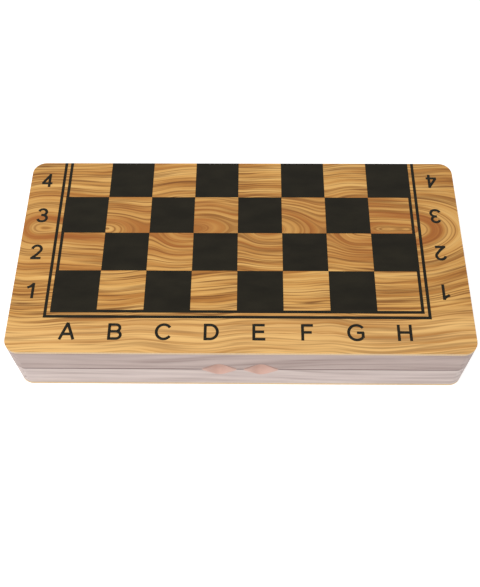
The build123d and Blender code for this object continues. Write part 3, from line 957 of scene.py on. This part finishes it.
def bishop(base, height):
    """A mitre with a button on top and one slanting cut."""
    head, neck, button, waist = base * 0.28, base * 0.19, base * 0.08, base * 0.23
    waist_z = height * 0.3
    shape = on_lathe([
        *man_foot(base, waist, waist_z), *man_collar(waist, waist_z, neck, head * 1.16, height * 0.64),
        [(head * 0.86, height * 0.71), (head, height * 0.77), (head * 0.8, height * 0.84),
         (head * 0.4, height * 0.9), (button * 0.6, height - 2 * button)],
        *round_ball(button, height - button, -53)])
    return cut(shape, [((head * 1.5, head * 3, 1.1), at(head * 0.95, 0, height * 0.845, -40, "Y"))])


# %% Queen and king
def queen(base, height):
    """A flared coronet with eight points and a small ball."""
    crown, neck, ball, waist = base * 0.3, base * 0.19, base * 0.1, base * 0.24
    waist_z, rim = height * 0.28, height * 0.9
    shape = on_lathe([
        *man_foot(base, waist, waist_z), *man_collar(waist, waist_z, neck, crown * 1.1, height * 0.68),
        [(neck * 1.02, height * 0.76), (crown * 0.8, height * 0.85), (crown, rim)],
        (crown * 0.9, rim), [(crown * 0.7, rim - 1.2), (ball * 0.8, height - 2 * ball)],
        *round_ball(ball, height - ball, -40)], around=48)
    slot = (crown * 1.6, 1.6, 1.8)
    return cut(shape, [(slot, at(0, 0, rim, turn) @ at(crown * 1.25, 0, 0)) for turn in range(0, 360, 45)])


def king(base, height):
    """A domed crown under a plain cross."""
    crown, neck, waist = base * 0.3, base * 0.19, base * 0.24
    waist_z, crown_z, arm = height * 0.27, height * 0.88, base * 0.12
    shape = on_lathe([
        *man_foot(base, waist, waist_z), *man_collar(waist, waist_z, neck, crown * 1.12, height * 0.65),
        [(neck * 1.05, height * 0.72), (crown * 0.85, height * 0.8), (crown, crown_z - crown * 0.35)],
        (crown * 0.9, crown_z - crown * 0.26),
        [(crown * 0.7, crown_z - crown * 0.05), (crown * 0.3, crown_z), (0, crown_z)]])
    stem_height = height - crown_z
    cross = bmesh.new()
    add_box(cross, (arm, arm, stem_height + arm * 0.4), at(0, 0, crown_z + stem_height / 2 - arm * 0.2))
    add_box(cross, (arm * 2.6, arm, arm), at(0, 0, crown_z + stem_height * 0.6))
    bmesh.ops.bevel(cross, geom=cross.edges[:], offset=0.3 * mm, segments=2, affect="EDGES")
    add_mesh(shape, as_mesh(cross, "cross"))
    return shape


# %% [markdown]
# The knight can't be turned. Its head is sawn from a board ten millimetres thick, the edges are rounded,
# and the mane, mouth, nostrils and ears are cut in on both sides. Two small beads are the eyes.


# %% Knight
mane_places = (0.68, 0.66, 0.64, 0.36, 0.1)


def knight(base, height):
    """A horse's head, cut from a board with rounded edges, on the turned foot."""
    r, thick, foot_top = base / 2, 10.0, height * 0.26
    foot = man_foot(base, r * 0.66, foot_top)[:-1]
    shape = on_lathe([*foot, [(r * 0.68, foot_top * 0.8), (r * 0.64, foot_top)]])
    sunk = (foot_top - 0.5) / height
    neck = smoothed([(0.6, sunk), (0.68, 0.38), (0.52, 0.5), (0.25, 0.6)], 4)
    face = [
        (0.5, 0.61), (0.7, 0.575), (0.86, 0.585), (0.97, 0.63), (0.95, 0.69), (0.74, 0.78), (0.54, 0.87),
        (0.44, 0.93), (0.33, 1.0), (0.2, 0.95)]
    back = [(0.08, 0.925), (-0.3, 0.87), (-0.62, 0.74), (-0.72, 0.58), (-0.7, 0.42), (-0.6, sunk)]
    outline = [(x * r * mm, -thick / 2 * mm, z * height * mm) for x, z in (*neck, *face, *smoothed(back, 4))]
    head = extruded([outline], (0, thick * mm, 0))
    rim = [edge for edge in head.edges if abs(edge.verts[0].co.y - edge.verts[1].co.y) < 0.1 * mm]
    bmesh.ops.bevel(
        head, geom=rim, offset=1.1 * mm, segments=3, profile=0.5, affect="EDGES", clamp_overlap=True)

    mane = [((r * 0.5, 1.4, 0.8), -x, 0.42 + 0.1 * i, -20 + 12 * i) for i, x in enumerate(mane_places)]
    mouth, nostril = ((r * 0.5, 1.6, 0.55), 0.86, 0.618, 8), ((1.5, 1.4, 0.7), 0.8, 0.672, 50)
    ear = ((3.4, 1.6, 0.8), 0.33, 0.945, -75)
    head = cut(head, [
        (size, at(r * x, side * thick / 2, height * z, turn, "Y"))
        for size, x, z, turn in (*mane, mouth, nostril, ear) for side in (-1, 1)])
    for side in (-1, 1):
        eye = at(r * 0.36, side * (thick / 2 - 0.1), height * 0.8) @ Matrix.Diagonal((1, 0.5, 1, 1))
        bmesh.ops.create_uvsphere(head, u_segments=16, v_segments=10, radius=1.0 * mm, matrix=eye)
    add_mesh(shape, as_mesh(head, "head"))
    return shape


# %% [markdown]
# ## Packing the men
# Each kind is made once and copied to the places of its CAD solids. The table gives each man's foot and
# height in millimetres, and the share of the foot and of the height at which its head touches the floor.

# %% Lay the chessmen in the tray
men = {
    "pawn": (pawn, 22.0, 38.0, 0.71, 0.58),
    "rook": (rook, 24.0, 42.0, 0.68, 1.0),
    "knight": (knight, 24.0, 46.0, 10 / 24, 1.0),
    "bishop": (bishop, 24.0, 54.0, 0.65, 0.64),
    "queen": (queen, 26.0, 64.0, 0.66, 0.68),
    "king": (king, 26.0, 72.0, 0.67, 0.65),
}
crease = radians(38)


def polished(mesh, *materials):
    """Adds materials, and smooth shading that stops at crisp edges."""
    for material in materials:
        mesh.materials.append(material)
    mesh.shade_smooth()
    mesh.set_sharp_from_angle(angle=crease)
    return mesh


def lay_men(colour, kind):
    """All men of one kind and colour, each laid where its CAD solid lies."""
    make, base, height, head_share, head_reach = men[kind]
    node = next(name for name in (f"{colour}_{kind}", f"{colour}_{kind}s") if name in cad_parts)
    lean = degrees(atan((1 - head_share) * base / 2 / (head_reach * height)))
    own_turn = 90 if kind == "knight" else 0
    man = as_mesh(make(base, height), kind)
    man.transform(at(0, 0, 0, -90) @ at(0, 0, 0, 90 + lean, "Y") @ at(0, 0, 0, own_turn))
    low, high = corners([vert.co for vert in man.vertices])
    laid = bmesh.new()
    for solid_low, solid_high in solid_boxes(node):
        middle = (solid_low.x + solid_high.x - low.x - high.x) / 2
        copy = man.copy()
        copy.transform(Matrix.Translation((middle, solid_high.y - high.y, solid_low.z - low.z)))
        add_mesh(laid, copy)
    mesh = polished(as_mesh(laid, node), men_woods[colour])
    return show(mesh, f"{node}_turned", "lower_tray", f"{colour}_men", node)


for colour in men_woods:
    pieces = [lay_men(colour, kind) for kind in men]
    print(colour, "chessmen:", [(piece.name, len(piece.data.polygons)) for piece in pieces])

# %% [markdown]
# ## The draughts
# A draught is a small turned disc: a rim, two fine grooves and a dished middle. The thirty lie in stacks,
# and putting one shape on many places is what Geometry Nodes do best. The places are single points, one
# for each CAD solid, and each draught gets a turn of its own.


# %% The tree that stacks
def stack_tree():
    """One shape on every point, each turned by its own angle."""
    tree, given = new_tree("stacked_draughts", {
        "Places": "Object", "Draught": "Object", "Wood": "Material", "Seed": 4})
    points = add_node(tree, "GeometryNodeMeshToPoints", {"Mesh": shape_of(given["Places"])})
    full_turn = {3: 2 * pi, "Seed": given["Seed"]}
    turn = add_node(tree, "FunctionNodeRandomValue", full_turn, 1, data_type="FLOAT")
    laid = add_node(tree, "GeometryNodeInstanceOnPoints", {
        "Points": points, "Instance": shape_of(given["Draught"]), "Rotation": combined(0.0, 0.0, turn)})
    close_tree(tree, with_material(laid, given["Wood"]))
    return tree


# %% Turn one draught, and stack thirty
def one_draught(diameter, thickness):
    """A turned disc with a rim, grooves and a dished middle."""
    r, top = diameter / 2, thickness
    middle, dish = top / 2, top - 0.8
    return on_lathe([
        (0, 0.4), [(r - 4, 0.4), (r - 3.4, 0)], (r - 0.8, 0), [(r - 0.2, 0.25), (r, 0.8)], (r, middle - 0.4),
        [(r - 0.35, middle), (r, middle + 0.4)], (r, dish), [(r - 0.2, top - 0.25), (r - 0.8, top)],
        (r - 3, top), [(r - 3.6, top - 0.7), (r - 4.4, dish)], (r - 6.4, dish),
        [(r - 6.7, top - 1.1), (r - 7, dish)], (1.2, dish), [(0.8, top - 1), (0, top - 1)]], around=48)


stacked_draughts = stack_tree()
draught_shape = in_scene("draught", as_mesh(one_draught(28.0, 8.0), "draught"))
for colour, wood in men_woods.items():
    node = f"{colour}_draughts"
    spots = [((low.x + high.x) / 2, (low.y + high.y) / 2, low.z) for low, high in solid_boxes(node)]
    place_mesh = bpy.data.meshes.new("places")
    place_mesh.from_pydata(spots, [], [])
    places = in_scene("places", place_mesh)
    mesh = grown_mesh(node, stacked_draughts, {
        "Places": places, "Draught": draught_shape, "Wood": wood, "Seed": len(colour)})
    bpy.data.objects.remove(places)
    show(polished(mesh), f"{node}_turned", "lower_tray", f"{colour}_men", node)
    print(colour, "draughts:", len(spots))
bpy.data.objects.remove(draught_shape)

# %% [markdown]
# ## The dice
# A die is a cube with generous round edges. Its pips are slightly raised painted dots: opposite faces
# add up to seven, and each face is a layout on a three by three grid.

# %% Make the dice
die_plastic, shader, place = start_material("die_plastic")
dull_cream, cream = linear(236, 230, 212), linear(246, 242, 228)
tint = graded(noise(place, (90, 90, 90), 2.0), [(0.35, dull_cream), (0.65, cream)])
finish_shader(shader, tint, 0.22, Coat_Weight=0.3, Coat_Roughness=0.1)
across_face = [(-1, -1), (1, 1)]
four_corners = [(-1, -1), (-1, 1), (1, -1), (1, 1)]
pip_layouts = {
    1: [(0, 0)], 2: across_face, 3: [*across_face, (0, 0)], 4: four_corners, 5: [*four_corners, (0, 0)],
    6: [*four_corners, (-1, 0), (1, 0)],
}
face_turns = {1: (0, "X"), 6: (180, "X"), 2: (90, "X"), 5: (-90, "X"), 3: (90, "Y"), 4: (-90, "Y")}
die_size, pip_radius, pip_rise = 12.0, 1.05, 0.06
numbers_up, die_turns = (5, 3), (18.0, -31.0)


def one_die(showing):
    """A die centred on the origin, rolled so that this number is on top."""
    cube = bmesh.new()
    bmesh.ops.create_cube(cube, size=die_size * mm)
    bmesh.ops.bevel(cube, geom=cube.edges[:], offset=1.7 * mm, segments=5, profile=0.5, affect="EDGES")
    for number, spots in pip_layouts.items():
        for across, up in spots:
            spot = at(across * die_size / 4, up * die_size / 4, die_size / 2 - 0.02)
            place = at(0, 0, 0, *face_turns[number]) @ spot @ Matrix.Diagonal((1, 1, pip_rise, 1))
            pip = bmesh.ops.create_uvsphere(
                cube, u_segments=16, v_segments=8, radius=pip_radius * mm, matrix=place)
            for face in {face for vert in pip["verts"] for face in vert.link_faces}:
                face.material_index = 1
    cube.transform(at(0, 0, 0, *face_turns[showing]).inverted())
    return cube


dice = bmesh.new()
for (low, high), turn, showing in zip(solid_boxes("dice"), die_turns, numbers_up):
    rolled = as_mesh(one_die(showing), "die")
    rolled.transform(Matrix.Translation((low + high) / 2) @ at(0, 0, 0, turn))
    add_mesh(dice, rolled)
dice_mesh = polished(as_mesh(dice, "dice"), die_plastic, board_ink)
show(dice_mesh, "dice_rolled", "lower_tray", "dice_ivory", "dice")
print("the dice show", numbers_up)

# %% [markdown]
# ## The studio
# A pale floor, an even sky and one large soft lamp overhead light a level surface at about strength one,
# so each colour renders as it is written. Sky and floor look whiter to the eye than the light they give.


# %% Light the box
def seen_by_eye(tree):
    """One for rays that come from the camera, in a gloss or through glass, and zero for plain light."""
    kinds = ("Camera", "Glossy", "Transmission")
    rays = [add_node(tree, "ShaderNodeLightPath", output=f"Is {kind} Ray") for kind in kinds]
    return rays[0].maths("MAXIMUM", rays[1].maths("MAXIMUM", rays[2]))


def studio_world(strength):
    """An even white sky: full white to the eye, and a plain level as light."""
    world = bpy.data.worlds.new("studio_sky")
    world.use_nodes = True
    scene.world = world
    background = world.node_tree.nodes["Background"]
    feed(background.inputs["Strength"], between(seen_by_eye(world.node_tree), 0.0, 1.0, strength, 1.0))
    feed(background.inputs["Color"], (1, 1, 1, 1))


def soft_lamp(name, place, target, size, power):
    """A square soft box that points at a target."""
    lamp = in_scene(name, bpy.data.lights.new(name, "AREA"))
    lamp.data.size, lamp.data.energy = size, power
    lamp.location = place
    lamp.rotation_euler = (Vector(target) - Vector(place)).to_track_quat("-Z", "Y").to_euler()


def studio_floor(size, z):
    """A pale floor that looks white to the eye but still takes a shadow."""
    material, shader, place = start_material("studio_floor")
    glow = seen_by_eye(place.tree) * 0.45
    finish_shader(shader, (0.9, 0.9, 0.9, 1), 0.9, Emission_Color=(1, 1, 1, 1), Emission_Strength=glow)
    mesh = bpy.data.meshes.new("floor")
    square = [(-size, -size, z), (size, -size, z), (size, size, z), (-size, size, z)]
    mesh.from_pydata(square, [], [(0, 1, 2, 3)])
    mesh.materials.append(material)
    in_scene("floor", mesh)


scene.view_settings.view_transform = "Standard"
studio_world(0.55)
soft_lamp("key_lamp", (-0.5, -0.6, 1.5), (0, 0, 0), 1.4, 18)
studio_floor(8.0, lowest.z - 0.2 * mm)
